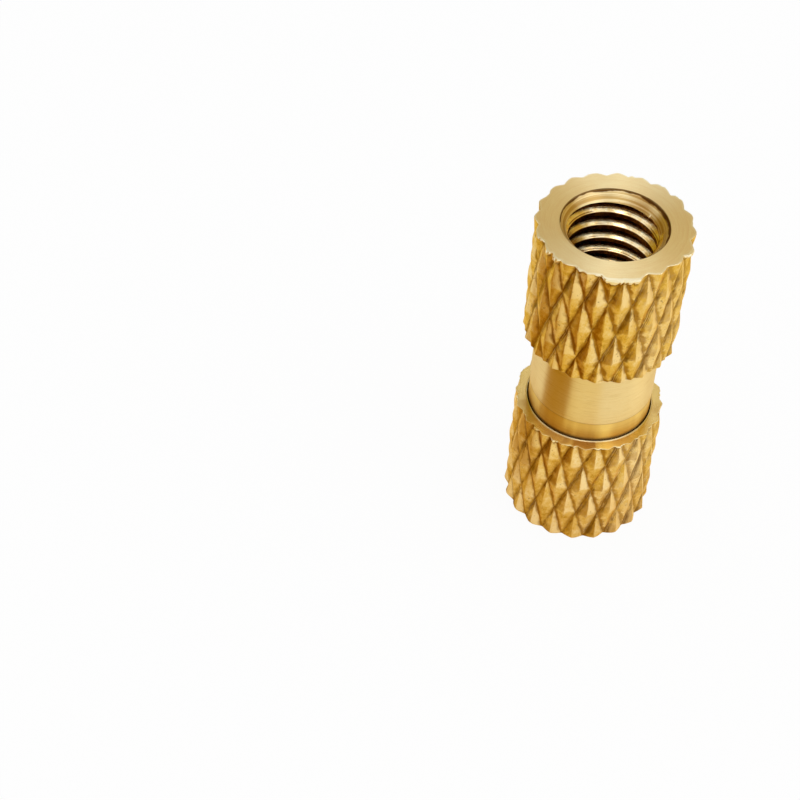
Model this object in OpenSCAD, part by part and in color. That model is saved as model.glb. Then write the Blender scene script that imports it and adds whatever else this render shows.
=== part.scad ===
// Threaded insert, turned from one bar: two diamond-knurled bands with a plain neck between
// them, and a threaded hole right through with a countersink at each mouth. It stands on its
// lower end face, with the origin at that face's centre and +Z along the hole. The hole is
// drawn at the thread's minor diameter.

/* [Body] */
// Diameter over the crests of the knurl
body_d = 7.5; // [7:0.1:9]
// Length from end face to end face
body_l = 18; // [15:0.5:24]

/* [Bands and neck] */
// Length of the lower knurled band
lower_band_l = 6.7; // [4:0.1:7]
// Length of the upper knurled band
upper_band_l = 6.7; // [4:0.1:7]
// Diameter of the plain neck
neck_d = 6.1; // [5.6:0.1:6.5]
// Depth of the relief groove in each shoulder, at the foot of the neck
relief_depth = 0.07; // [0.03:0.01:0.12]

/* [Knurl] */
// Grooves round the bar in each direction
knurl_starts = 20; // [14:1:26]
// Height from one row of groove crossings to the next
knurl_row_h = 1.8; // [1.2:0.1:3]
// Depth of the grooves below the crests
knurl_depth = 0.23; // [0.1:0.01:0.3]
// Rounding of the crests: 0 leaves flat facets, 1 makes round ones
knurl_round = 0.4; // [0:0.1:1]

/* [Hole] */
// Minor diameter of the thread
hole_d = 4.2; // [3.8:0.05:4.6]
// Diameter of each countersink at the end face
sink_d = 5.1; // [4.8:0.1:5.6]
// Full angle of each countersink
sink_angle = 90; // [60:5:120]

/* [Hidden] */
$fn = 96;
brass = [0.83, 0.66, 0.36];

// How far each cutting shape reaches past the surface that it cuts
over = 1;
// Facets along each groove from one crossing to the next
facets = 3;
// Width of the relief groove in each shoulder
relief_w = 0.09;

body_r = body_d / 2;
neck_r = neck_d / 2;
sink_r = sink_d / 2;
neck_low = lower_band_l;
neck_high = body_l - upper_band_l;

// The facet grid has a column every facet_turn degrees and a level every facet_h millimetres
columns = 2 * knurl_starts * facets;
facet_turn = 360 / columns;
facet_h = knurl_row_h / facets;
levels = ceil(body_l / facet_h - 0.001);

// Height of one level of the grid; the last one lies on the end face
function level_z(level) = min(level * facet_h, body_l);

// Distance from the nearest groove of one direction: 0 in it, 1 half way to the next
function off_groove(steps) = abs(steps + 1 - 2 * floor((steps + 1) / 2) - 1);

// Rise of the surface from a groove, at 0, to the middle of a diamond, at 1
function crest(t) = (1 - knurl_round) * t + knurl_round * sin(90 * t);

// Radius of the knurled bar, where across counts half pitches round the bar and up counts rows
function knurl_r(across, up) =
    body_r - knurl_depth * (1 - crest(min(off_groove(across - up), off_groove(across + up))));

function knurl_point(column, level) =
    let (r = knurl_r(column / facets, level_z(level) / knurl_row_h), turn = column * facet_turn)
    [r * cos(turn), r * sin(turn), level_z(level)];

// Place of a grid point in the list of points
function at(column, level) = level * columns + column % columns;

// The grooves climb to the right and to the left in turn, as the squares of a chessboard do
function climbs_right(column, level) =
    (floor(column / facets) + floor(level / facets)) % 2 == 0;

// Two triangles for one cell of the grid, split along the groove
function cell_faces(column, level) =
    let (
        a = at(column, level),
        b = at(column + 1, level),
        c = at(column + 1, level + 1),
        d = at(column, level + 1)
    )
    climbs_right(column, level) ? [[a, c, b], [a, d, c]] : [[a, d, b], [b, d, c]];

// The bar as it leaves the knurling wheels, one pattern over its whole length
module knurled_bar() {
    bottom = columns * (levels + 1);
    top = bottom + 1;
    points = concat(
        [for (level = [0 : levels], column = [0 : columns - 1]) knurl_point(column, level)],
        [[0, 0, 0], [0, 0, body_l]]
    );
    wall = [
        for (level = [0 : levels - 1], column = [0 : columns - 1])
            each cell_faces(column, level)
    ];
    ends = [
        for (column = [0 : columns - 1])
            each [
                [bottom, at(column, 0), at(column + 1, 0)],
                [top, at(column + 1, levels), at(column, levels)]
            ]
    ];
    polyhedron(points, concat(wall, ends), convexity = 6);
}

// The ring turned away after knurling, with a relief groove in each shoulder at the foot of the
// neck
module neck_cut() {
    reach = body_r - neck_r + over;
    rotate_extrude() {
        translate([neck_r, neck_low])
            square([reach, neck_high - neck_low]);
        translate([neck_r, neck_low - relief_depth])
            square([relief_w, neck_high - neck_low + 2 * relief_depth]);
    }
}

// The cone that opens one mouth of the hole, pointing up from the end face at z = 0
module countersink() {
    slope = tan(sink_angle / 2);
    translate([0, 0, -over])
        cylinder(h = over + sink_r / slope, r1 = sink_r + over * slope, r2 = 0);
}

module insert_body() {
    color(brass)
        difference() {
            knurled_bar();
            neck_cut();
            translate([0, 0, -over])
                cylinder(h = body_l + 2 * over, d = hole_d);
            countersink();
            translate([0, 0, body_l])
                mirror([0, 0, 1])
                    countersink();
        }
}

insert_body();
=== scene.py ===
# %% [markdown]
# A knurled brass insert, dressed for its portrait
#
# The part is a threaded insert: a short bar of brass with a diamond knurl on two bands, a plain
# neck between them, and a threaded hole right through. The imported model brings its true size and
# place. This lesson builds the same form again as one finer mesh, so that the thread, the burrs
# and the rounded bottoms of the grooves are real geometry, and then gives it its brass.

# %% Load the frame
import math

import bpy
import numpy as np
from mathutils import Euler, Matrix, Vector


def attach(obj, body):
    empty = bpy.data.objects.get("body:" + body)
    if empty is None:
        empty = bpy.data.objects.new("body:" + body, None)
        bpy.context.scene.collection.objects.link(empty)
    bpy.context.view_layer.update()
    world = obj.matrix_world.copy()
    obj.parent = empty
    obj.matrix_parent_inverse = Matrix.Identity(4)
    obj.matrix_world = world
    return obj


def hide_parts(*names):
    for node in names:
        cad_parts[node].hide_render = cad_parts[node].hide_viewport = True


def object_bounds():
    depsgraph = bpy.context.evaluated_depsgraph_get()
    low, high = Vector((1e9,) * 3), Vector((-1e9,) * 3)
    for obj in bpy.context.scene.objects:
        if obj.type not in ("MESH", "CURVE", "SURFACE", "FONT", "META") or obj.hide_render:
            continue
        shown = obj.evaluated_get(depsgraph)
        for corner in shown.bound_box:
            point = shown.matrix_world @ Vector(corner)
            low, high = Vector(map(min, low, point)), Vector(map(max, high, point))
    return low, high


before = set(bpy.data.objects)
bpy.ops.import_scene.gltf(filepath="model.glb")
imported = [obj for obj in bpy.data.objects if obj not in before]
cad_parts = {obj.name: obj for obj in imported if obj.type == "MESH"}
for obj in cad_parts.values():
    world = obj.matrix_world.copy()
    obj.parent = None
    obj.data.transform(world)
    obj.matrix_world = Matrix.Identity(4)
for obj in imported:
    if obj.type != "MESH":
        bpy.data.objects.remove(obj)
cad_low, cad_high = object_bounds()
MM = 0.001
body_r = (cad_high.x - cad_low.x) / 2 / MM
body_l = (cad_high.z - cad_low.z) / MM
print(f"the insert is {2 * body_r:.2f} mm over the knurl and {body_l:.2f} mm long")

# %% [markdown]
# The camera stands where the photographer's did. A fit to the ellipses of the end faces, the neck
# and the groove ends gave its height, its distance, the tilt, a slight roll and the long lens.
# Azimuths are counted from +X, as the knurl's grooves are.

# %% Camera
camera_height = 74.51
camera_distance = 66.79
camera_azimuth = -102.62
camera_heading = 85.5
camera_tilt = 46.15
camera_roll = 2.92
camera_lens = 85.14


def polar(radius, azimuth, height):
    """A point from its distance to the axis, its azimuth in degrees and its height, in metres."""
    angle = math.radians(azimuth)
    return (radius * math.cos(angle) * MM, radius * math.sin(angle) * MM, height * MM)


camera = bpy.data.objects.new("camera", bpy.data.cameras.new("camera"))
bpy.context.scene.collection.objects.link(camera)
bpy.context.scene.camera = camera
camera.location = polar(camera_distance, camera_azimuth, camera_height)
aim = Euler((math.radians(90 - camera_tilt), 0, math.radians(camera_heading - 90))).to_matrix()
roll = Euler((0, 0, math.radians(camera_roll))).to_matrix()
camera.rotation_euler = (aim @ roll).to_euler()
camera.data.sensor_width = 36
camera.data.lens = camera_lens
camera.data.clip_start = 1 * MM
camera.data.clip_end = 10
print(f"the camera is {camera.location.length / MM:.1f} mm from the foot of the insert")

# %% [markdown]
# The knurl is pressed by two wheels whose teeth climb opposite ways. Each leaves 20 V-shaped
# grooves, and what stands between them is a field of four-sided pyramids. A sculpted or displaced
# mesh could imitate that, but the height of the surface can be worked out instead: take the
# distance to the nearest groove of each direction, and let the deeper cut win. Real wheels never
# repeat themselves, so every groove is a little off its place and its depth, sways a little on its
# way up, and some crests are bruised flat, more of them on the upper band than on the lower.

# %% Height of the knurl
starts = 20
row_h = 1.8
groove_depth = 0.235
groove_floor = 0.055
flank_round = 0.35
ridge_round = 0.06
crest_round = 0.12
wheel = np.random.default_rng(5)
groove_shift = wheel.normal(0, 0.03, (2, starts))
groove_gain = 1 + wheel.normal(0, 0.06, (2, starts))
groove_phase = wheel.uniform(0, 2 * np.pi, (2, starts))
sway = 0.045
sway_rate = 1.7
quick_sway = 0.03
quick_sway_rate = 4.6
rows_up = (np.arange(starts)[None, :] - np.arange(starts)[:, None]) % starts
lower_rows = 5
bruised_share = np.where(rows_up > lower_rows, 0.45, 0.14)
bruised = wheel.random((starts, starts)) < bruised_share
bruise_depth = wheel.uniform(0.02, 0.05, (starts, starts))


def smooth_least(a, b, blend):
    """The smaller of two heights, with the corner between them rounded over the blend."""
    near = np.maximum(blend - np.abs(a - b), 0) / blend
    return np.minimum(a, b) - near * near * blend / 4


def groove_height(steps, hand, z):
    """Height over the grooves of one direction: 0 in a groove, 1 half way to the next."""
    before = np.floor(steps / 2)
    walls = []
    for groove in (before, before + 1):
        which = groove.astype(int) % starts
        phase = groove_phase[hand][which]
        place_off = groove_shift[hand][which] + sway * np.sin(sway_rate * z + phase)
        place_off = place_off + quick_sway * np.sin(quick_sway_rate * z + 7 * phase)
        away = np.abs(steps - 2 * groove - place_off)
        off_floor = np.minimum(np.sqrt(away**2 + groove_floor**2) - groove_floor, 1)
        rise = (1 - flank_round) * off_floor + flank_round * np.sin(off_floor * np.pi / 2)
        walls.append(1 - groove_gain[hand][which] * (1 - rise))
    return np.minimum(*walls)


def diamond_height(left, right):
    """Height of the surface from the heights over the two directions of grooves."""
    height = smooth_least(left, right, ridge_round)
    return smooth_least(height, np.ones_like(height), crest_round)


crest = float(diamond_height(np.ones(1), np.ones(1))[0])
print(f"the crests lose {groove_depth * (1 - crest) * 1000:.0f} microns to their rounding")


# %% [markdown]
# Across counts half pitches round the bar and up counts rows of groove crossings, so that a groove
# is a place where their sum or their difference is even. The same two numbers name the diamond
# that a point lies on, which is how a bruise keeps to one crest.

# %% Radius of the knurl
def groove_steps(turn, z):
    """Steps across the grooves that climb to the right, and across those that climb to the left."""
    across = turn / np.pi * starts
    up = z / row_h
    return across - up, across + up


def groove_depth_share(turn, z):
    """0 on a crest and 1 in the bottom of a groove."""
    left, right = groove_steps(turn, z)
    return crest - diamond_height(groove_height(left, 0, z), groove_height(right, 1, z))


def knurl_radius(turn, z):
    """Radius of the knurled bar at an angle and a height, in millimetres."""
    left, right = groove_steps(turn, z)
    radius = body_r - groove_depth * groove_depth_share(turn, z)
    diamond = (np.floor(left / 2).astype(int) % starts, np.floor(right / 2).astype(int) % starts)
    flat = np.where(bruised[diamond], body_r - bruise_depth[diamond], body_r)
    return np.minimum(radius, flat)


columns = 400
outer_turn = np.arange(columns) * 2 * np.pi / columns
sample = knurl_radius(outer_turn[None, :], np.linspace(0, body_l, 300)[:, None])
print(f"the knurl's radius runs from {sample.min():.3f} to {sample.max():.3f} mm")

# %% [markdown]
# When the lathe faces the ends and cuts the neck, the tool drags a little metal over the groove
# ends. That burr is a thin, torn lip on the edge: mostly a hair wide, with a flap here and there,
# and the wider a flap is, the further it hangs down the side. Five large ones stand where the
# photo shows them. It could be a separate sliver, but as a swelling of the edge it stays part of
# the one skin.

# %% Burrs
def flap(azimuth, reach, width, torn):
    """One flap of burr: its middle and its half breadth in degrees, and how far it stands out."""
    gap = np.angle(np.exp(1j * (outer_turn - math.radians(azimuth))))
    ragged = 0.75 + 0.5 * torn.random(columns)
    return width * ragged * np.exp(-((gap / math.radians(reach)) ** 4))


def burr_lip(seed, flaps, width):
    """How far the edge of a face stands out from the knurl, one number for each column."""
    torn = np.random.default_rng(seed)
    lip = 0.002 + 0.012 * torn.random(columns)
    for _ in range(2):
        lip = (lip + np.roll(lip, 1) + np.roll(lip, -1)) / 3
    for end in torn.choice(starts, flaps, replace=False) * 360 / starts:
        reach = torn.uniform(1.5, 4.5)
        lip += flap(end + torn.uniform(-4, 4), reach, width * torn.uniform(0.4, 1), torn)
    return lip


def hanging(lip, down):
    """What is left of a lip at a distance down the side."""
    return lip * np.exp(-((down / (0.03 + lip)) ** 4))


def droop(lip, down):
    """How far a lip's own weight of metal has bent it down the side."""
    return 0.45 * lip * np.exp(-down / 0.18)


def shade_under_lip(lip, down):
    """How much a point lies in the shade painted under a lip, from 0 to 1."""
    below = (down - 0.05 - 1.25 * lip) / (0.02 + 0.35 * lip)
    return np.clip(lip / 0.08, 0, 1) * np.exp(-(below**2))


foot_burr = burr_lip(11, 7, 0.06)
lower_ring_burr = burr_lip(12, 12, 0.12)
upper_ring_burr = burr_lip(13, 6, 0.05)
top_burr = burr_lip(14, 11, 0.13)
large_torn = np.random.default_rng(15)
large = ((-151, 2, 0.16), (-143, 3.5, 0.24), (-97, 9, 0.22), (-83, 5, 0.18), (-31, 5, 0.18))
for azimuth, reach, width in large:
    top_burr += flap(azimuth, reach, width, large_torn)
print(f"the widest flap on the top edge stands out {top_burr.max() * 1000:.0f} microns")

# %% [markdown]
# Everything outside the hole came off a lathe, so the skin is a walk from the lower mouth round
# the outside to the upper mouth, one ring of points after another. Each ring carries its radius
# for every column, its height, the finish of the strip behind it, and how much groove, burr (painted
# as a highlight) and painted shade its points hold, which the finishes will ask for.

# %% Rings of the skin
TURNED, KNURLED, THREADED = 0, 1, 2
edge_break = 0.035
burr_reach = 0.07
ring_radii = []
ring_heights = []
ring_finish = []
ring_groove = []
ring_burr_highlight = []
ring_painted_shade = []


def add_ring(radius, height, finish, groove=0.0, burr_highlight=0.0, painted_shade=0.0):
    """One ring of the skin; the finish is that of the strip between it and the ring before."""
    ring_radii.append(np.broadcast_to(radius, columns).astype(float))
    ring_heights.append(np.broadcast_to(height, columns).astype(float))
    ring_finish.append(finish)
    ring_groove.append(np.broadcast_to(groove, columns).astype(float))
    ring_burr_highlight.append(np.broadcast_to(burr_highlight, columns).astype(float))
    ring_painted_shade.append(np.broadcast_to(painted_shade, columns).astype(float))


def knurl_edge(plane, side, lip):
    """Outline of a face that cuts the knurl, with its burr, kept close to the bar."""
    return np.minimum(knurl_radius(outer_turn, plane - side * 1e-4) + lip, body_r + burr_reach)


def add_face(inner_r, plane, side, lip, outwards):
    """A flat turned face from a plain inner radius to the knurled outline, walked either way."""
    rim = knurl_edge(plane, side, lip)
    shares = [0.0, 0.08, 0.35, 0.65, 0.87, 0.98]
    for share in shares if outwards else shares[::-1]:
        at_rim = share == shares[-1]
        drop = edge_break * 0.15 if at_rim else 0
        # the outermost ring paints the face's edge pale, a painted highlight, stronger where the burr
        # is
        add_ring(
            inner_r + (rim - inner_r) * share,
            plane - side * drop,
            TURNED,
            burr_highlight=0.7 + lip / 0.1 if at_rim else 0.0,
        )


def add_band(low, high, low_lip, high_lip):
    """A knurled band between two faces, with a burr at each end."""
    near = np.array([edge_break, 0.06, 0.09, 0.12, 0.16, 0.20, 0.26])
    step = row_h / 10
    grid = np.arange(math.ceil((low + 0.32) / step), math.floor((high - 0.32) / step) + 1) * step
    for level in np.concatenate([low + near, grid, (high - near)[::-1]]):
        lip = hanging(low_lip, level - low) + hanging(high_lip, high - level)
        bent = level + droop(low_lip, level - low) - droop(high_lip, high - level)
        radius = np.minimum(knurl_radius(outer_turn, bent) + lip, body_r + burr_reach)
        groove = groove_depth_share(outer_turn, bent)
        # painted shadow under the lips, kept with the painted shade of the crevices
        painted_shade = shade_under_lip(low_lip, level - low) + shade_under_lip(high_lip, high - level)
        add_ring(radius, bent, KNURLED, groove, lip / 0.06, painted_shade)


# %% [markdown]
# The neck is turned down between the bands. The sharp corner of the grooving tool bit a hair
# deeper at each shoulder, which leaves a crevice round the foot of the neck with a lip beside it,
# and its last plunge ended in a faint step. The crevice is painted dark as shade, and the lip is
# painted bright as a highlight. With that the whole walk can be made.

# %% Walk round the skin
band_l = 6.7
neck_r = 3.05
undercut_w = 0.09
undercut_depth = 0.07
mouth_r = 2.55
mouth_step = 0.06
plunge_step = 0.010
plunge_l = 1.12
ring_inner_r = neck_r + undercut_w + 0.05
neck_low = band_l
neck_high = body_l - band_l


def add_undercut(plane, side):
    """The crevice in the corner between a face and the neck, walked from the face to the neck."""
    corner = [(1.55, 0.0), (1.2, 0.020), (0.78, 0.022), (0.68, -0.03), (0.55, -undercut_depth)]
    corner += [(0.1, -undercut_depth), (0.0, -0.03)]
    for share, rise in corner if side > 0 else corner[::-1]:
        radius = neck_r - plunge_step + undercut_w * share
        # sunken points of the crevice carry painted shade, and the raised lip a painted highlight
        add_ring(radius, plane + side * rise, TURNED, burr_highlight=float(rise > 0), painted_shade=float(rise < 0))


add_ring(mouth_r, mouth_step, TURNED)
add_face(mouth_r, 0, -1, foot_burr, True)
add_band(0, neck_low, foot_burr, lower_ring_burr)
add_face(ring_inner_r, neck_low, 1, lower_ring_burr, False)
add_undercut(neck_low, 1)
for height in (0.01, 0.05, 0.5, plunge_l - 0.04, plunge_l):
    add_ring(neck_r - plunge_step, neck_low + height, TURNED)
for height in np.linspace(plunge_l + 0.03, neck_high - neck_low - 0.05, 5):
    add_ring(neck_r, neck_low + height, TURNED)
add_undercut(neck_high, -1)
add_face(ring_inner_r, neck_high, -1, upper_ring_burr, True)
add_band(neck_high, body_l, upper_ring_burr, top_burr)
add_face(mouth_r, body_l, 1, top_burr, False)
add_ring(mouth_r, body_l - mouth_step, TURNED)
rings = len(ring_radii)
print(f"the skin has {rings} rings of {columns} points")

# %% [markdown]
# The thread is one groove that climbs to the right. A stack of flat rings would only fake it, so
# the wall's points lie along the helix: each column is lifted by its share of the pitch. Points
# that pass an end face slide onto the edge of the mouth, where they merge. The groove runs out a
# little before the mouth. The countersink wins wherever its cone is wider than the thread, and the
# point next to that border moves onto it, so that the edge between them is clean. Points on the
# cone count as flank, so that no dirt of the thread's roots reaches them.

# %% Thread
pitch = 0.8
minor_r = 2.1
major_r = 2.49
middle_r = (minor_r + major_r) / 2
root_share = 0.625
thread_profile = [
    (0.0, minor_r), (0.125, minor_r), (0.25, minor_r), (0.406, middle_r),
    (0.5625, major_r), (root_share, major_r + 0.01), (0.6875, major_r), (0.844, middle_r),
]
root_z = 0.22
run_out_start = 0.15
run_out_l = 0.3
flank_groove = 0.3
thread_start = root_share * pitch - root_z
lap = len(thread_profile)
laps = range(-2, math.ceil(body_l / pitch) + 3)
thread_columns = columns // 2
thread_turn = np.arange(thread_columns) * 2 * np.pi / thread_columns
rise = np.array([(share + turn) * pitch for turn in laps for share, _ in thread_profile])
thread_z = rise[None, :] + pitch * (thread_turn / (2 * np.pi))[:, None] - thread_start
thread_r = np.array([radius for _ in laps for _, radius in thread_profile])
from_end = np.minimum(thread_z, body_l - thread_z)
run_out = np.clip((from_end - run_out_start) / run_out_l, 0, 1)
thread_r = minor_r + (thread_r[None, :] - minor_r) * run_out


def cone_radius(z):
    """Radius of the countersinks at a height; far from the ends it is less than the thread's."""
    return mouth_r + mouth_step - np.minimum(z, body_l - z)


spare = cone_radius(thread_z) - thread_r
countersunk = spare > 0
border_z = thread_z.copy()
for here, there in ((slice(None, -1), slice(1, None)), (slice(1, None), slice(None, -1))):
    fall = spare[:, here] - spare[:, there]
    share = spare[:, here] / np.where(fall == 0, 1, fall)
    crossing = thread_z[:, here] + share * (thread_z[:, there] - thread_z[:, here])
    at_border = countersunk[:, here] & ~countersunk[:, there]
    border_z[:, here] = np.where(at_border, crossing, border_z[:, here])
thread_z = border_z
thread_groove = (thread_r - minor_r) / (major_r - minor_r)
thread_groove = np.where(countersunk, flank_groove, thread_groove)
thread_r = np.where(countersunk, np.minimum(cone_radius(thread_z), mouth_r), thread_r)
past_top = thread_z > body_l - mouth_step - 0.02
past_foot = thread_z < mouth_step + 0.02
print(f"the hole holds {body_l / pitch:.1f} turns of thread")


# %% [markdown]
# Now the points become faces. A cell of the knurl isn't flat, and which way it is split decides
# whether a groove looks like a crease or like a row of teeth, so each cell is split along the
# groove that it is nearer to.

# %% Faces of the skin
def skin_faces():
    """Faces between neighbouring rings, and the finish of each."""
    faces = []
    finishes = []
    for ring in range(rings - 1):
        finish = ring_finish[ring + 1]
        middle_z = (ring_heights[ring] + ring_heights[ring + 1]) / 2
        left, right = groove_steps(outer_turn + np.pi / columns, middle_z)
        climbs_right = groove_height(left, 0, middle_z) < groove_height(right, 1, middle_z)
        for column in range(columns):
            a = ring * columns + column
            b = ring * columns + (column + 1) % columns
            c, d = b + columns, a + columns
            if finish != KNURLED:
                faces.append((a, b, c, d))
            elif climbs_right[column]:
                faces += [(a, b, c), (a, c, d)]
            else:
                faces += [(a, b, d), (b, c, d)]
        finishes += [finish] * (len(faces) - len(finishes))
    return faces, finishes


faces, finishes = skin_faces()
print(f"{len(faces)} faces on the outside")


# %% [markdown]
# The wall of the hole closes on itself one lap higher than it began. At each mouth one column of
# the wall meets two of the skin, and a sliver of a triangle closes the gap between them.

# %% Faces of the hole
def hole_faces(first_point):
    """Faces of the thread, the countersinks and the two seams, and the finish of each."""
    faces = []
    finishes = []
    levels = thread_z.shape[1]
    top_ring = (rings - 1) * columns
    place = first_point + np.arange(thread_columns * levels).reshape(thread_columns, levels)
    for column in range(thread_columns):
        place[column, past_top[column]] = top_ring + 2 * column
        place[column, past_foot[column]] = 2 * column
    for column in range(thread_columns):
        after = (column + 1) % thread_columns
        lift = lap if after == 0 else 0
        for level in range(levels - 1 - lift):
            corners = (
                place[column, level],
                place[column, level + 1],
                place[after, level + 1 + lift],
                place[after, level + lift],
            )
            distinct = tuple(dict.fromkeys(int(corner) for corner in corners))
            if len(distinct) > 2:
                faces.append(distinct)
                sunk = countersunk[column, level:level + 2].all()
                sunk = sunk and countersunk[after, level + lift:level + lift + 2].all()
                finishes.append(TURNED if sunk else THREADED)
        foot = (2 * column, 2 * after, 2 * column + 1)
        top = (top_ring + 2 * column, top_ring + 2 * column + 1, top_ring + 2 * after)
        faces += [foot, top]
        finishes += [TURNED, TURNED]
    return faces, finishes


more_faces, more_finishes = hole_faces(rings * columns)
print(f"{len(more_faces)} faces in the hole")


# %% [markdown]
# The two lists of points and faces go into one mesh. The groove, the burr with its painted
# highlight and the painted shade go with them as attributes, and points that no face uses are
# dropped. Shading is smooth except over edges sharper than a third of a right angle, which is what
# a cut edge is.

# %% Make the insert
sharp_angle = 30


def ring_points(radii, turn, heights):
    """Points on circles round the axis, in metres, one row of three numbers each."""
    radii, turn, heights = np.broadcast_arrays(radii, turn, heights)
    points = np.stack([radii * np.cos(turn), radii * np.sin(turn), heights], -1)
    return points.reshape(-1, 3) * MM


points = np.concatenate([
    ring_points(np.array(ring_radii), outer_turn[None, :], np.array(ring_heights)),
    ring_points(thread_r, thread_turn[:, None], thread_z),
])
marks = {
    "groove": np.concatenate([np.ravel(ring_groove), np.ravel(thread_groove)]),
    "burr_highlight": np.concatenate([np.ravel(ring_burr_highlight), np.zeros(thread_z.size)]),
    "painted_shade": np.concatenate([np.ravel(ring_painted_shade), np.zeros(thread_z.size)]),
}
faces += more_faces
finishes += more_finishes
used = np.unique(np.concatenate([np.array(face) for face in faces]))
renumber = np.full(len(points), -1)
renumber[used] = np.arange(len(used))
mesh = bpy.data.meshes.new("insert")
mesh.from_pydata(points[used].tolist(), [], [renumber[list(face)].tolist() for face in faces])
for name, values in marks.items():
    mark = mesh.attributes.new(name, "FLOAT", "POINT")
    mark.data.foreach_set("value", values[used].astype(np.float32))
mesh.polygons.foreach_set("material_index", finishes)
mesh.polygons.foreach_set("use_smooth", [True] * len(faces))
mesh.set_sharp_from_angle(angle=math.radians(sharp_angle))
mesh.update()
insert = bpy.data.objects.new("insert", mesh)
bpy.context.scene.collection.objects.link(insert)
triangles = sum(len(face) - 2 for face in faces)
print(f"the insert has {len(used)} points and {triangles} triangles")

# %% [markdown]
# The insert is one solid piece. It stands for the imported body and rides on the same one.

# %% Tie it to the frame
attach(insert, "root")
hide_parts("insert_body")


# %% [markdown]
# Finishes are written as sums. A Wire holds the output of a node, and adding or multiplying wires
# adds the Math nodes that do it. Any other node comes from one method, which takes the kind of
# node, its settings and what its sockets want.

# %% Sums that write nodes
class Wire:
    """An output of a node that can stand in a sum."""

    tree = None

    def __init__(self, socket):
        self.socket = socket

    @staticmethod
    def node(kind, wants=(), output=0, **settings):
        """Any node: its settings come first, then the values or the wires its sockets want."""
        made = Wire.tree.nodes.new(kind)
        for name, value in settings.items():
            setattr(made, name, value)
        for name, value in dict(wants).items():
            if isinstance(value, Wire):
                Wire.tree.links.new(value.socket, made.inputs[name])
            else:
                made.inputs[name].default_value = value
        return Wire(made.outputs[output])

    def maths(self, operation, *others, clamp=False):
        wants = dict(enumerate((self, *others)))
        return Wire.node("ShaderNodeMath", wants, operation=operation, use_clamp=clamp)

    def __add__(self, other):
        return self.maths("ADD", other)

    __radd__ = __add__

    def __mul__(self, other):
        return self.maths("MULTIPLY", other)

    __rmul__ = __mul__

    def __sub__(self, other):
        return self.maths("SUBTRACT", other)

    def __rsub__(self, other):
        return Wire.node("ShaderNodeMath", {0: other, 1: self}, operation="SUBTRACT")

    def __truediv__(self, other):
        return self.maths("DIVIDE", other)

    def __neg__(self):
        return self.maths("MULTIPLY", -1.0)

    def clamp(self):
        return self.maths("ADD", 0.0, clamp=True)

    def size(self):
        return self.maths("ABSOLUTE")

    def between(self, low, high):
        """0 below low, 1 above high, and a soft slope from one to the other."""
        wants = {0: self, 1: low, 2: high, 3: 0.0, 4: 1.0}
        return Wire.node("ShaderNodeMapRange", wants, interpolation_type="SMOOTHSTEP")


# %% [markdown]
# These are the marks that tools and handling leave, each as a number from 0 to 1 over the surface.
# Noise in three directions makes clouds. Noise in one direction makes lines, and what is fed to it
# says which way they run: a distance from the axis makes rings, as a lathe does, and a distance
# across the grooves makes the drag lines of a knurling wheel.

# %% Marks on metal
def place():
    """Where on the piece a point is, in metres."""
    return Wire.node("ShaderNodeTexCoord", output=3)


def along(axis):
    """One of the three parts of the place, in millimetres."""
    return Wire.node("ShaderNodeSeparateXYZ", {0: place()}, output=axis) / MM


def mark(name):
    """An attribute that was stored on the mesh."""
    return Wire.node("ShaderNodeAttribute", output=2, attribute_name=name)


def clouds(size, detail=3, roughness=0.6):
    """Soft blotches about so many millimetres across."""
    wants = {"Vector": place(), "Scale": 1 / (size * MM), "Detail": detail, "Roughness": roughness}
    return Wire.node("ShaderNodeTexNoise", wants)


def scratches(across, width, *with_them, detail=2):
    """Lines of about that width; across is the distance over them, the rest run along them."""
    at = Wire.node("ShaderNodeCombineXYZ", dict(enumerate((across / width, *with_them))))
    wants = {"Vector": at, "Scale": 1.0, "Detail": detail, "Roughness": 0.6}
    return Wire.node("ShaderNodeTexNoise", wants)


def half_pitches():
    """Half pitches round the bar from +X; the count starts again at the back, on +Y."""
    return along(0).maths("ARCTAN2", -along(1)) * (starts / math.pi) - starts / 2


def off_axis():
    """Distance to the axis."""
    x, y = along(0), along(1)
    return (x * x + y * y).maths("SQRT")


def lathe_lines(width, length, detail=2):
    """Rings of that width that break off after that length, on a face, a cone or a wall."""
    travel = off_axis() + along(2)
    return scratches(travel, width, along(0) / length, along(1) / length, detail=detail)


def toward(azimuth):
    """How near a point is to an azimuth: 1 on it, and 0 a quarter of the way round from it."""
    angle = math.radians(azimuth)
    return (along(0) * math.cos(angle) + along(1) * math.sin(angle)) / off_axis()


def spokes(width):
    """Streaks of that width that run straight up a wall and straight out over a face."""
    outward = [axis / off_axis() * (body_r / width) for axis in (along(0), along(1))]
    at = Wire.node("ShaderNodeCombineXYZ", dict(enumerate(outward)))
    return Wire.node("ShaderNodeTexNoise", {"Vector": at, "Scale": 1.0, "Detail": 3, "Roughness": 0.6})


def colour_between(share, low, high):
    """A colour part of the way from one to another; each is a wire or red, green and blue."""
    low, high = (end if isinstance(end, Wire) else (*end, 1) for end in (low, high))
    wants = {0: share, 6: low, 7: high}
    return Wire.node("ShaderNodeMix", wants, output=2, data_type="RGBA")


def start_finish(name):
    """A new material whose nodes the next sums write."""
    material = bpy.data.materials.new(name)
    material.use_nodes = True
    Wire.tree = material.node_tree
    Wire.tree.nodes.clear()
    return material


def end_finish(surface):
    """Send a shader to the output of the material that is being written."""
    out = Wire.tree.nodes.new("ShaderNodeOutputMaterial")
    Wire.tree.links.new(surface.socket, out.inputs["Surface"])


def relief(height, depth):
    """A normal bent by a height from 0 to 1 that is so many millimetres deep."""
    wants = {"Height": height, "Strength": 1.0, "Distance": depth * MM}
    return Wire.node("ShaderNodeBump", wants)


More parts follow.
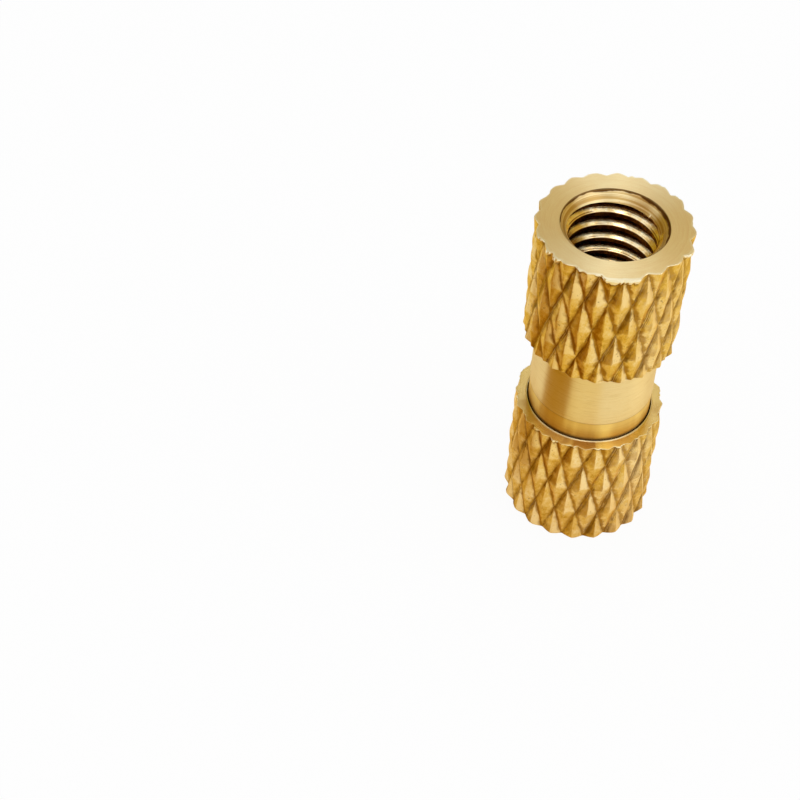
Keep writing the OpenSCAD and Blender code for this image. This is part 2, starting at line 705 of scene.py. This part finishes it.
def metal(colour, roughness, normal, pull, edge):
    """Metal; pull is how far tool lines draw out its highlights, and edge is its tint at a slant."""
    wants = {
        "Base Color": colour, "Metallic": 1.0, "Roughness": roughness, "Normal": normal,
        "Anisotropic": pull, "Anisotropic Rotation": 0.25, "Specular Tint": (*edge, 1),
    }
    return Wire.node("ShaderNodeBsdfPrincipled", wants)


# %% [markdown]
# Turned brass covers the end faces, the neck and the countersinks. The tool leaves fine rings that
# break off and start again, so highlights are drawn out across the rings. On top of them lies a
# fine grain, and faint clouds break up the lathe's perfect circles. The marks come first, with the
# masks that tell the neck, its foot, the ring round it and the mouths apart. They could be painted
# on an unwrapped mesh, but as sums of the place they follow the turned form by themselves.

# %% Marks of the lathe
turned = start_finish("turned brass")
fine = lathe_lines(0.03, 1.0)
broad = lathe_lines(0.14, 3.0, 3)
coarse = lathe_lines(0.09, 6.0)
grain = clouds(0.05, 2, 0.5)
patch = clouds(1.1)
streaks = spokes(2.0)
above_ring = along(2) - neck_low
on_neck = above_ring.between(0.0, 0.02) * (along(2) - neck_high).between(0.0, -0.02)
on_foot = on_neck * (1 - above_ring.between(plunge_l - 0.05, plunge_l + 0.02))
step_line = 1 - (above_ring - plunge_l).size().between(0.015, 0.06)
on_ring = above_ring.between(-0.09, -0.08) * (1 - above_ring.between(0.0, 0.02))
in_mouth = 1 - off_axis().between(mouth_r - 0.02, mouth_r + 0.03)
# painted shade in the crevice round the foot of the neck, painted nearly black
crevice_shade = mark("painted_shade").between(0.1, 0.6)
print(f"the lathe's marks take {len(Wire.tree.nodes)} nodes")

# %% [markdown]
# The neck is a little deeper in colour, with fine darker dashes. Its foot, below the faint step,
# has painted shade that darkens it towards the crevice, and the crevice is painted nearly black as
# shade, with a painted highlight on the lip. The ring round it has a dark reflection painted on its
# front, cut by one painted glint, and is browner in streaks that run outwards. The countersinks
# have coarser, browner rings, because that tool chatters, and painted shade in their rims, most of
# it on the right. Burrs and the edges of the faces are painted pale, as highlights.

# %% Painted shade, reflection and streaks on turned brass
# painted shade: the foot is darker towards the crevice, broken by streaks, and darker still just above
# it
lift = above_ring.between(0.0, 1.0) * 0.6 + streaks.between(0.35, 0.65) * 0.5 + broad * 0.3 - 0.13
foot = colour_between(lift.clamp(), (0.50, 0.23, 0.012), (0.90, 0.63, 0.17))
foot_shadow = 0.9 - above_ring.between(0.0, 0.26) * 0.9
foot = colour_between(foot_shadow, foot, (0.13, 0.042, 0.001))
# painted reflection: a dark patch on the front of the ring, cut by a painted glint
front_reflection = toward(-98).between(0.970, 0.990) * (1 - toward(-88).between(0.9975, 0.9995))
reflection_and_streaks = front_reflection + (1 - streaks.between(0.38, 0.54)) * 0.4
ring = colour_between(reflection_and_streaks.clamp(), (1.00, 0.80, 0.33), (0.45, 0.200, 0.003))
# painted shade inside the rims of the mouths, reaching further in on the right
to_end = (along(2) - body_l / 2).size() + (patch - 0.5) * 0.30
to_end = to_end + toward(12).between(0.72, 0.97) * 0.06
rim_shade = in_mouth * to_end.between(body_l / 2 - 0.13, body_l / 2 - 0.09)
print(f"with the stains that makes {len(Wire.tree.nodes)} nodes")

# %% Turned brass
tone = (fine * 0.3 + broad * 0.2 + grain * 0.25 + patch * 0.25).between(0.32, 0.66)
skin = colour_between(tone, (0.87, 0.66, 0.32), (0.97, 0.83, 0.49))
skin = colour_between(on_neck * 0.6, skin, (0.87, 0.635, 0.24))
skin = colour_between(on_neck * fine.between(0.50, 0.68) * 0.35, skin, (0.62, 0.38, 0.09))
skin = colour_between(on_foot * 0.9, skin, foot)
skin = colour_between(on_ring * 0.75, skin, ring)
skin = colour_between(step_line * on_neck * 0.35, skin, (0.34, 0.15, 0.010))
skin = colour_between(in_mouth * coarse.between(0.42, 0.60) * 0.9, skin, (0.60, 0.37, 0.11))
skin = colour_between(rim_shade * 0.9, skin, (0.15, 0.048, 0.002))
# painted highlight: burrs and the edges of the faces are painted pale
skin = colour_between(mark("burr_highlight").clamp() * 0.95, skin, (0.99, 0.90, 0.64))
skin = colour_between(crevice_shade, skin, (0.065, 0.022, 0.001))
end_finish(metal(
    skin,
    0.30 + 0.10 * fine + 0.08 * patch - 0.10 * on_ring + 0.45 * crevice_shade + 0.2 * rim_shade,
    relief(fine * 0.4 + broad * 0.3 + grain * 0.2 + in_mouth * coarse, 0.0045),
    0.9,
    (1, 0.92, 0.76),
))
print(f"turned brass takes {len(Wire.tree.nodes)} nodes")

# %% [markdown]
# Knurled brass was pressed, not cut. The steps off the nearest groove of each direction, with a
# sign for the side, tell the four flanks of a diamond apart. A little noise in the count keeps their
# borders from being ruled, and each diamond draws a lot of its own, so that no two are alike. The
# flank to the right of a groove that climbs to the right is the lee side, which gets painted shade.
# The flank across the ridge from it gets a painted highlight.

# %% Flanks of a diamond
knurled = start_finish("knurled brass")
mottle = clouds(0.30, 4, 0.68)
speckle = clouds(0.05, 2, 0.6)
blotch = clouds(0.5, 2, 0.5)
stain = clouds(1.1, 3, 0.55)
ripple = (clouds(0.7, 2) - 0.5) * 0.36
across = half_pitches()
up = along(2) / row_h
off_right = (across - up + ripple).maths("WRAP", 1.0, -1.0)
off_left = (across + up - ripple).maths("WRAP", 1.0, -1.0)
diamond = Wire.node("ShaderNodeCombineXYZ", {
    0: ((across - up) / 2).maths("FLOOR").maths("FLOORED_MODULO", starts),
    1: ((across + up) / 2).maths("FLOOR").maths("FLOORED_MODULO", starts),
})
lot = Wire.node("ShaderNodeTexWhiteNoise", {"Vector": diamond}, noise_dimensions="2D")
lean = off_left.size() - off_right.size() + (mottle - 0.5) * 0.6 + (lot - 0.5) * 0.35
nearer_right = lean.between(-0.10, 0.10)
lee = nearer_right * off_right.between(0.0, 0.05)
# the flank across the ridge from the lee side, painted lighter as a highlight
painted_lit_flank = (1 - nearer_right) * (1 - off_left.between(-0.05, 0.0))
print(f"the flanks take {len(Wire.tree.nodes)} nodes")

# %% [markdown]
# At the foot of a lee flank, by the groove, painted shade is broken into dark strokes that run
# along the groove like drag marks, and in a few diamonds the wheel tore the metal in short steps.
# Beside the groove a thin painted highlight shows here and there.

# %% Marks of the wheel, painted shade and a painted highlight
tear_w = 0.13
# painted shade at the foot of a lee flank, broken into strokes along the drag lines below
lee_foot_shade = lee * (1 - off_right.between(0.18, 0.55))
drag = scratches(off_right, 0.08, along(2) / 0.7, lot * 50, detail=3)
dragged_shade = lee_foot_shade * drag.between(0.47, 0.60) * stain.between(0.36, 0.52)
torn = ((across - up + ripple * 0.5) * (2 * math.pi / tear_w)).maths("SINE") * 0.5 + 0.5
torn_here = (lot - 0.70).between(0.0, 0.02) * mottle.between(0.36, 0.46)
torn = torn.between(0.50, 0.95) * lee_foot_shade * torn_here
# a thin painted highlight beside the groove, here and there
hairline_highlight = 1 - (off_right - 0.09).size().between(0.01, 0.05)
hairline_highlight = hairline_highlight * (mottle * 0.8 + lot).between(1.00, 1.12)
print(f"with the wheel's marks that makes {len(Wire.tree.nodes)} nodes")

# %% [markdown]
# The grooves get painted shade in patches: a broad brown band beside those that climb to the left,
# a paler one beside the others, and a thin dark line in the bottom of both. The bands spread
# further out of the groove in some places than in others, and there are more of them on the upper
# half of the insert. The right side of the front has painted light, and its painted shade is weaker.

# %% Painted shade in the grooves
upper = along(2).between(neck_low, neck_high)
# painted light on the right side of the front, which also weakens the painted shade there
painted_light_right = toward(-30).between(0.60, 0.98)
shade_patches = mottle * 0.9 + stain + upper * 0.06
spread = (blotch - 0.5) * (0.5 + upper * 0.4) + (mottle - 0.5) * 0.25
# painted shade in patches beside both kinds of groove
right_valley_shade = (1 - (off_right.size() + spread).between(0.00, 0.34)) * shade_patches.between(0.62, 0.98)
from_left = (off_left - 0.08 + (mottle - 0.5) * 0.4).size() + spread
left_valley_shade = (1 - from_left.between(0.02, 0.36)) * shade_patches.between(0.48, 0.94)
valley_shade = (right_valley_shade * 0.78).maths("MAXIMUM", left_valley_shade * 0.85) * (1 - painted_light_right * 0.3)
# thin lines of painted shade in the bottoms of the grooves
cut_line = (1 - off_right.size().between(0.015, 0.06)) * (mottle + stain).between(0.80, 1.10)
far_line = (1 - (off_left + 0.03).size().between(0.01, 0.05)) * (mottle + stain).between(0.85, 1.10)
# painted shade in patches at the foot of the lee flanks
lee_shade_patches = off_right.between(0.0, 0.08) * (1 - off_right.between(0.25, 0.55)) * stain.between(0.54, 0.66)
pits = (clouds(0.13, 2, 0.5) * 0.7 + stain * 0.3).between(0.61, 0.68)
print(f"with the dirt that makes {len(Wire.tree.nodes)} nodes")

# %% [markdown]
# The colour is laid on in layers: brass that is dim, plain or pale, lighter on the flank with the
# painted highlight, then the painted shade of the lee flanks and of the grooves, the dark marks,
# and last the crests that handling rubbed pale, the painted hairline highlights, and the burrs,
# painted pale as highlights.

# %% Knurled brass
tone = mottle * 0.46 + speckle * 0.30 + drag * 0.18 + stain * 0.36 + lot * 0.10
tone = tone + painted_lit_flank * (0.09 + lot * 0.13) + painted_light_right * 0.08
plain = colour_between(upper, (0.77, 0.490, 0.100), (0.78, 0.485, 0.075))
pale = colour_between(upper, (0.96, 0.75, 0.38), (0.92, 0.69, 0.30))
skin = colour_between(tone.between(0.50, 0.70), (0.49, 0.232, 0.005), plain)
skin = colour_between(tone.between(0.64, 0.92), skin, pale)
# painted shade on the lee flanks
lee_painted_shade = lee * stain.between(0.34, 0.58) * (0.75 - painted_light_right * 0.3)
skin = colour_between(lee_painted_shade, skin, (0.41, 0.182, 0.004))
skin = colour_between(valley_shade, skin, (0.32, 0.130, 0.003))
# the darkest colour gathers painted shade from the grooves, the lee feet and under the flaps, and the
# torn steps
dark = cut_line * 0.75
shades_and_tears = (torn * 0.85, lee_shade_patches * 0.8, far_line * 0.5, dragged_shade * 0.85, mark("painted_shade") * 0.9)
for mask in shades_and_tears:
    dark = dark.maths("MAXIMUM", mask)
skin = colour_between(dark * (1 - painted_light_right * 0.2), skin, (0.14, 0.055, 0.002))
skin = colour_between(pits * 0.5, skin, (0.16, 0.06, 0.002))
# crests rubbed pale by handling, with the painted hairline highlight
rubbed_and_highlight = ((0.14 - mark("groove")) * 3.0).clamp().maths("MAXIMUM", hairline_highlight * 0.35)
skin = colour_between(rubbed_and_highlight * 0.55, skin, (0.97, 0.77, 0.42))
# painted highlight: burrs are painted pale
skin = colour_between(mark("burr_highlight").between(0.3, 1.0) * 0.85, skin, (0.94, 0.77, 0.43))
end_finish(metal(
    skin,
    0.30 + 0.14 * mottle + 0.08 * drag,
    relief(mottle * 0.45 + drag * 0.3 + speckle * 0.15 - torn * 0.4 - pits * 0.2, 0.026),
    0.1,
    (1, 0.82, 0.45),
))
print(f"knurled brass takes {len(Wire.tree.nodes)} nodes")

# %% [markdown]
# The thread was cut by a tap. Its flanks are bright, with a thin dark line here and there where
# the tap chattered. Its roots and the flats of its crests are painted dark as shade, and the tap's
# teeth leave lines that follow the helix.

# %% Threaded brass
threaded = start_finish("threaded brass")
groove = mark("groove")
helix = (along(2) - half_pitches() * (pitch / (2 * starts)) - root_z).maths("WRAP", pitch, 0.0)
teeth = scratches(helix, 0.04, along(0) / 2, along(1) / 2)
speck = clouds(0.25, 3)
flank = colour_between(speck.between(0.35, 0.65), (0.92, 0.67, 0.31), (1.00, 0.86, 0.56))
chatter = (1 - (groove - 0.20).size().between(0.03, 0.09)) * clouds(2.5, 2).between(0.46, 0.54)
flank = colour_between(chatter * 0.75, flank, (0.22, 0.08, 0.008))
# painted shade for the roots and the flats of the crests
root = colour_between(speck.between(0.40, 0.60), (0.10, 0.030, 0.004), (0.27, 0.105, 0.016))
on_flank = groove.between(0.02, 0.10) * (1 - groove.between(0.58, 0.76))
end_finish(metal(
    colour_between(on_flank, root, flank),
    0.12 + 0.12 * speck,
    relief(teeth * 0.7 + speck * 0.3, 0.008),
    0.3,
    (1, 0.80, 0.45),
))
for finish in (turned, knurled, threaded):
    mesh.materials.append(finish)
print(f"finishes: {', '.join(slot.name for slot in mesh.materials)}")


# %% [markdown]
# The floor is a plain white sheet. What the camera and the metal see of it is mostly its own
# glow, so it stays white, and the rest is lit, so it keeps a soft shadow under the insert. Close
# to the foot the metal sees more of that shadow, tinted by the brass, and the sheet doesn't glow
# where the insert covers it, so that no light comes up through the hole.

# %% Floor
def ray(kind):
    """1 for rays of one kind: 0 from the camera, 3 from gloss, 6 through glass."""
    return Wire.node("ShaderNodeLightPath", output=kind)


def sheet(name, corners):
    """A flat polygon from its corners, in metres, that is only there for the picture."""
    flat = bpy.data.meshes.new(name)
    flat.from_pydata(corners, [], [tuple(range(len(corners)))])
    made = bpy.data.objects.new(name, flat)
    bpy.context.scene.collection.objects.link(made)
    return made


floor_reach = 3.0
corners = [(x * floor_reach, y * floor_reach, 0) for x, y in ((-1, -1), (1, -1), (1, 1), (-1, 1))]
floor = sheet("floor", corners)
paper = start_finish("white paper")
covered = 1 - off_axis().between(mouth_r + 0.05, body_r - 0.25)
open_sky = off_axis().between(3.0, 11.0)
glow_share = ray(0) * 0.93 + (ray(3) + ray(6)) * (0.40 + 0.5 * open_sky)
lit = Wire.node("ShaderNodeBsdfDiffuse", {"Color": (0.92, 0.92, 0.92, 1)})
bounced = (1 - off_axis().between(4.0, 20.0)) * ray(3)
tint = colour_between(bounced, (1, 1, 1), (1, 0.82, 0.52))
glow = Wire.node("ShaderNodeEmission", {"Color": tint, "Strength": 1.0})
glow_share = (glow_share * (1 - covered)).clamp()
end_finish(Wire.node("ShaderNodeMixShader", {0: glow_share, 1: lit, 2: glow}))
floor.data.materials.append(paper)
print(f"the floor is {2 * floor_reach:.0f} m wide")

# %% [markdown]
# Bare metal is only as interesting as what it mirrors. Under white all round it would look flat,
# so, as in a studio, cards stand outside the picture. A gold card lies on the floor to the left,
# with a gold wall at its far edge, and gives the walls their darker side. A cream one in front
# warms what faces the camera, and a white one brightens the right side. Two golden flags hang
# behind, left and right, and draw the two darker wedges on the turned top face.

# %% Cards
gold = (0.45, 0.240, 0.004)
flag_away = 90
flag_low = 8
flag_high = 220
flag_half = 36


def card(name, corners, colour):
    """A card of one plain colour that only the metal sees, from corners as polar takes them."""
    made = sheet(name, [polar(*corner) for corner in corners])
    board = start_finish(name)
    end_finish(Wire.node("ShaderNodeEmission", {"Color": (*colour, 1), "Strength": 1.0}))
    made.data.materials.append(board)
    made.visible_camera = False
    made.visible_diffuse = False
    made.visible_shadow = False
    return made


card(
    "gold card",
    [(6, -138, 1), (14, -134, 1), (95, -127, 1), (110, -150, 1), (95, -176, 1), (7, -188, 1)],
    gold,
)
card("gold wall", [(95, -127, 1), (95, -176, 1), (95, -176, 110), (95, -127, 110)], gold)
card(
    "cream card",
    [(7, -138, 0.9), (42, -131, 0.9), (46, -108, 0.9), (42, -84, 0.9), (12, -84, 0.9), (7, -108, 0.9)],
    (0.93, 0.815, 0.48),
)
card(
    "white card",
    [(6.5, -78, 0.8), (95, -78, 0.8), (110, -35, 0.8), (110, 10, 0.8), (95, 50, 0.8), (6.5, 50, 0.8),
     (6.5, 10, 0.8), (6.5, -35, 0.8)],
    (1.0, 0.97, 0.90),
)
for name, side, colour in (
    ("left flag", 47, (0.37, 0.25, 0.02)),
    ("right flag", -47, (0.56, 0.40, 0.10)),
):
    middle = camera_azimuth + 180 + side
    sides = (middle - flag_half, middle + flag_half)
    corners = [(flag_away, azimuth, flag_low) for azimuth in sides]
    corners += [(flag_away, azimuth, flag_high) for azimuth in sides[::-1]]
    card(name, corners, colour)

# %% [markdown]
# Plain soft studio light: a white room, a broad lamp to the right of the camera, a weaker one to
# its left, a low one at the right side, and a small one high up that draws fine highlights on the
# thread. They are weak, so colours render about as written.

# %% Light
world = bpy.data.worlds.new("white room")
bpy.context.scene.world = world
world.use_nodes = True
Wire.tree = world.node_tree
Wire.tree.nodes.clear()
level = 0.8 + (ray(0) + ray(3) + ray(6)).clamp() * 0.2
air = Wire.node("ShaderNodeBackground", {"Color": (1, 1, 1, 1), "Strength": level})
out = Wire.tree.nodes.new("ShaderNodeOutputWorld")
Wire.tree.links.new(air.socket, out.inputs["Surface"])


def lamp(name, at, size, watts):
    """A square soft lamp that faces the middle of the insert."""
    light = bpy.data.lights.new(name, "AREA")
    light.size = size
    light.energy = watts
    made = bpy.data.objects.new(name, light)
    bpy.context.scene.collection.objects.link(made)
    made.location = at
    middle = made.location.copy()
    middle.z -= body_l / 2 * MM
    made.rotation_euler = middle.to_track_quat("Z", "Y").to_euler()
    return made


lamp("key", polar(190, camera_azimuth + 62, 210), 0.14, 0.06)
lamp("fill", polar(200, camera_azimuth - 40, 200), 0.10, 0.02)
lamp("side", polar(220, camera_azimuth + 88, 25), 0.14, 0.07)
lamp("top", polar(60, camera_azimuth, 260), 0.06, 0.03)
bpy.context.scene.view_settings.view_transform = "Standard"
print(f"{len(bpy.data.lights)} lamps light it")
